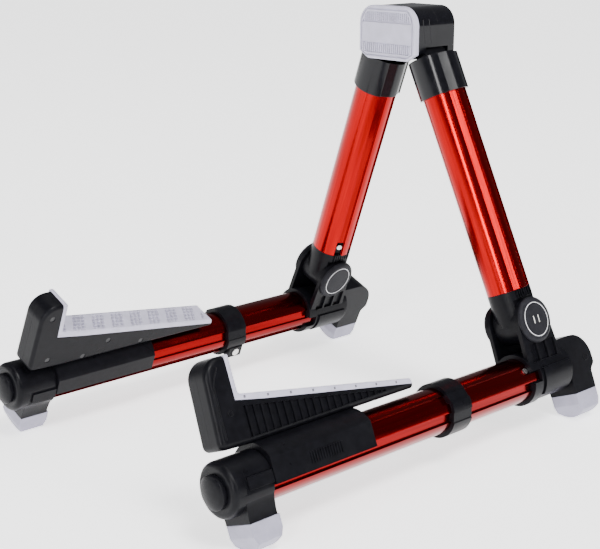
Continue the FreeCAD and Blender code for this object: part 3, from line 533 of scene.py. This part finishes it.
def pit(name, side, w, v, u):
    """A small square pit in the pad's outer side, shown as a dark plug almost flush with it: its dark colour is
    painted shade of the pit's hollow.
    """
    points = []
    for level in (w - PIT_SUNK, w + PIT_PROUD):
        for dv, du in ((-1, -1), (-1, 1), (1, 1), (1, -1)):
            points.append(spot(side, level, v + dv * PIT_HALF_V, u + du * PIT_HALF_U))
    prism(name, points, f"{side}_arm", PIT_PAINTED_SHADE)


def head_line(name, sign, top_y, foot_y, face):
    """A raised line on the head's side, from near the top down towards the sleeve."""
    half = HEAD_LINE_HALF
    diamond = ((0, -half), (HEAD_LINE_PROUD, 0), (0, half), (-HEAD_LINE_SUNK, 0))
    points = []
    for y, z in ((top_y, HEAD_LINE_TOP), (foot_y, HEAD_LINE_FOOT)):
        for dx, dy in diamond:
            points.append(Vector((sign * (face + dx - HEAD_LINE_SEAT), y + dy, z)) * MM)
    prism(name, points, "head", MATERIALS["gloss_black"])


# the side pits of the arm pads, as dark plugs coloured with painted shade
PIT_PAINTED_SHADE = moulded("pit_painted_shade", (0.12, 0.115, 0.14), 0.6, 2500.0, 0.00003)
PIT_COUNT, PIT_DROP, PIT_HEEL_GAP = 8, 2.0, 3.4
PIT_SUNK, PIT_PROUD = 0.6, 0.04
PIT_HALF_V, PIT_HALF_U = 0.75, 0.7
# the lines on the head, as the y of their top and foot
HEAD_LINES = [(88.6, 91.2), (94.6, 97.6)]
HEAD_LINE_TOP, HEAD_LINE_FOOT = 272.0, 256.0
HEAD_LINE_HALF, HEAD_LINE_PROUD, HEAD_LINE_SUNK, HEAD_LINE_SEAT = 0.4, 0.45, 0.3, 0.1
# a bead and a small diamond on the toe's outer face, as (v, u)
TOE_BEAD = [(25.0, 271.0), (45.0, 270.6), (57.0, 269.6), (65.5, 265.0)]
TOE_BOSS = [(40.6, 263.7), (38.9, 265.4), (37.2, 263.7), (38.9, 262.0), (40.6, 263.7)]
TOE_BEAD_RADIUS, TOE_BOSS_RADIUS = 0.6, 0.3
# a ring open at the top on the knee block's outer face, by its angles from straight up
BLOCK_FACE, BLOCK_MARK_V, BLOCK_MARK_U, BLOCK_MARK_RADIUS = 11.3, 0.3, -43.0, 2.2
BLOCK_MARK_TURNS = (0.4, 1.2, 2.0, 3.14, 4.3, 5.1, 5.9)
BLOCK_BEAD_RADIUS = 0.35
# two upright strokes on each outer cap
CAP_FACE, STROKE_HALF, STROKE_GAP, STROKE_RADIUS = 17.4, 2.6, 2.4, 0.3

head_pad()
for side in SIDES:
    arm_pad(side)
    for i in range(PIT_COUNT):
        u = PAD_HEEL[1] - PIT_HEEL_GAP - i * PIT_PITCH
        v = PAD_HEEL[0] + (u - PAD_HEEL[1]) * PAD_SLOPE - PIT_DROP
        pit(f"{side}_pad_pit_{i}", side, PAD_OUT, v, u)
    ring(f"{side}_outer_cap_ring", side, CAP_FACE)
    ring(f"{side}_inner_cap_ring", side, -CAP_FACE - RING_THICK)
    toe_bead = [(PAD_OUT, v, u) for v, u in TOE_BEAD]
    bar(f"{side}_toe_bead", side, f"{side}_arm", toe_bead, TOE_BEAD_RADIUS, "black_plastic")
    toe_boss = [(PAD_OUT, v, u) for v, u in TOE_BOSS]
    bar(f"{side}_toe_boss", side, f"{side}_arm", toe_boss, TOE_BOSS_RADIUS, "black_plastic")
    block_mark = []
    for turn in BLOCK_MARK_TURNS:
        across, along = BLOCK_MARK_RADIUS * math.cos(turn), BLOCK_MARK_RADIUS * math.sin(turn)
        block_mark.append((BLOCK_FACE, BLOCK_MARK_V + across, BLOCK_MARK_U + along))
    bar(f"{side}_block_mark", side, f"{side}_lower", block_mark, BLOCK_BEAD_RADIUS, "black_plastic")
head_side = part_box("head_front_shell")[1].x / MM
for side, sign in SIDES.items():
    for i, (top_y, foot_y) in enumerate(HEAD_LINES):
        head_line(f"{side}_head_line_{i}", sign, top_y, foot_y, head_side)
for side in SIDES:
    for i, offset in enumerate((-STROKE_GAP, STROKE_GAP)):
        ends = (PIVOT_V - STROKE_HALF, PIVOT_V + STROKE_HALF)
        stroke = [(CAP_FACE, v, PIVOT_U + offset) for v in ends]
        bar(f"{side}_cap_mark_{i}", side, f"{side}_lower", stroke, STROKE_RADIUS, "washer")


# ---------------------------------------------------------------- floor, light and camera

FLOOR_REACH, FLOOR_GLOW = 8.0, 1.6
# the camera as solved from the photo: lens in millimetres, angles in degrees, place from the knee pivot
LENS, SENSOR = 78.67, 36.0
AZIMUTH, ELEVATION = 47.38, 15.5
CAMERA_PLACE = Vector((530.02, -690.09, 272.43))


def floor():
    mesh = bpy.data.meshes.new("floor")
    reach = FLOOR_REACH
    corners = [(-reach, -reach, 0), (reach, -reach, 0), (reach, reach, 0), (-reach, reach, 0)]
    mesh.from_pydata(corners, [], [(0, 1, 2, 3)])
    obj = bpy.data.objects.new("floor", mesh)
    bpy.context.scene.collection.objects.link(obj)
    material, _, bsdf = shader("floor", (0.93, 0.93, 0.93), 0.7, specular=0.1)
    bsdf.inputs["Emission Color"].default_value = (1, 1, 1, 1)
    bsdf.inputs["Emission Strength"].default_value = FLOOR_GLOW
    mesh.materials.append(material)


def aimed(name, data, place, target):
    obj = bpy.data.objects.new(name, data)
    obj.location = place
    obj.rotation_mode = "QUATERNION"
    obj.rotation_quaternion = (Vector(target) - Vector(place)).to_track_quat("-Z", "Y")
    bpy.context.scene.collection.objects.link(obj)


def softbox(name, place, target, width, height, power):
    light = bpy.data.lights.new(name, "AREA")
    light.shape = "RECTANGLE"
    light.size = width
    light.size_y = height
    light.energy = power
    aimed(name, light, place, target)


def daylight(name, place, target, strength, angle):
    """An even, very soft light over the whole floor."""
    light = bpy.data.lights.new(name, "SUN")
    light.energy = strength
    light.angle = math.radians(angle)
    aimed(name, light, place, target)


def camera():
    data = bpy.data.cameras.new("camera")
    data.sensor_width = SENSOR
    data.lens = LENS
    data.clip_start = 0.01
    data.clip_end = 50.0
    obj = bpy.data.objects.new("camera", data)
    azimuth = math.radians(AZIMUTH)
    elevation = math.radians(ELEVATION)
    flat = math.cos(elevation)
    back = Vector((math.sin(azimuth) * flat, -math.cos(azimuth) * flat, math.sin(elevation)))
    obj.location = RIGHT_PIVOT + CAMERA_PLACE * MM
    obj.rotation_mode = "QUATERNION"
    obj.rotation_quaternion = (-back).to_track_quat("-Z", "Y")
    bpy.context.scene.collection.objects.link(obj)
    bpy.context.scene.camera = obj


floor()
# each softbox: place, target, width, height and power
CENTRE = (0, 0, 0.12)
softbox("key", (0.8, -1.45, 0.7), CENTRE, 0.22, 1.3, 24)
softbox("rim", (1.9, 0.1, 0.8), CENTRE, 0.25, 1.3, 14)
softbox("fill", (-1.2, -1.6, 0.9), CENTRE, 0.3, 1.4, 7)
softbox("top", (0.0, 0.4, 2.2), CENTRE, 1.2, 1.2, 16)
daylight("even", (0.9, -0.1, 1.6), (0, 0, 0), 3.0, 20)
world = bpy.data.worlds.new("world")
world.use_nodes = True
world.node_tree.nodes["Background"].inputs["Color"].default_value = (0.85, 0.86, 0.9, 1)
world.node_tree.nodes["Background"].inputs["Strength"].default_value = 0.25
bpy.context.scene.world = world
camera()
